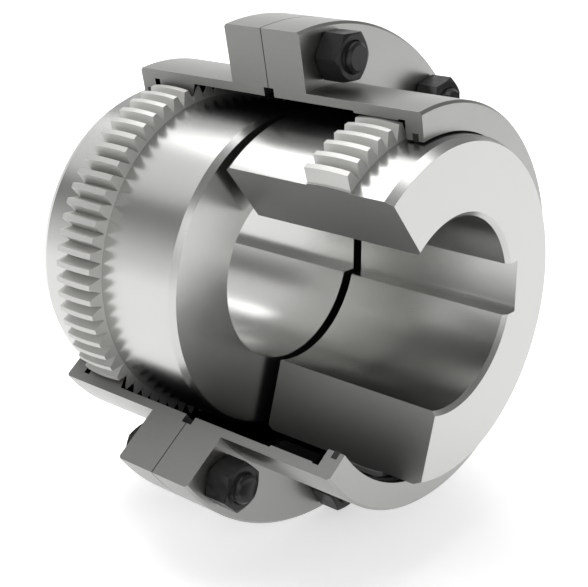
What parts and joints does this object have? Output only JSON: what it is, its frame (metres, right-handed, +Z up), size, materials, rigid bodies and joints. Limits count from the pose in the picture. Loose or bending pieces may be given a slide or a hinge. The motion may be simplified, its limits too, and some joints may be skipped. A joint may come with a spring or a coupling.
{
  "type": "gear coupling",
  "caption": "Flanged gear coupling with crowned-tooth hubs in a bolted toothed shell, shown sectioned with a window cut out of the shell and one hub.",
  "frame": {"origin": "centre of the left hub's bore at its inner end face", "axes": "+X along the shafts towards the right hub, +Z up, window cut out on the -Y side"},
  "size_m": [0.187, 0.2175, 0.24],
  "materials": {
    "hub_left": "fine turned, bright",
    "hub_right": "fine turned, bright",
    "shell": "satin machined",
    "seal": "matt black",
    "gasket": "dark fibre sheet",
    "plug": "plain steel",
    "bolt": "black oxide"
  },
  "bodies": {
    "driving_hub": {"hub_left": "hub_left"},
    "shell": {"sleeve_left": "shell", "sleeve_right": "shell", "seal_left": "seal", "seal_right": "seal", "flange_gasket": "gasket", "grease_plug_left": "plug", "grease_plug_right": "plug", "bolt_1": "bolt", "bolt_2": "bolt", "bolt_3": "bolt", "bolt_4": "bolt", "bolt_5": "bolt", "bolt_6": "bolt", "nut_1": "bolt", "nut_2": "bolt", "nut_3": "bolt", "nut_4": "bolt", "nut_5": "bolt", "nut_6": "bolt"},
    "driven_hub": {"hub_right": "hub_right"}
  },
  "joints": [
    {"name": "left_mesh_tilt", "type": "hinge", "parent": "driving_hub", "child": "shell", "pos_m": [-0.0585, 0, 0], "axis": [0, 0, 1], "range_deg": [-0.75, 0.75]},
    {"name": "right_mesh_tilt", "type": "hinge", "parent": "shell", "child": "driven_hub", "pos_m": [0.0635, 0, 0], "axis": [0, 0, 1], "range_deg": [-0.75, 0.75]}
  ]
}
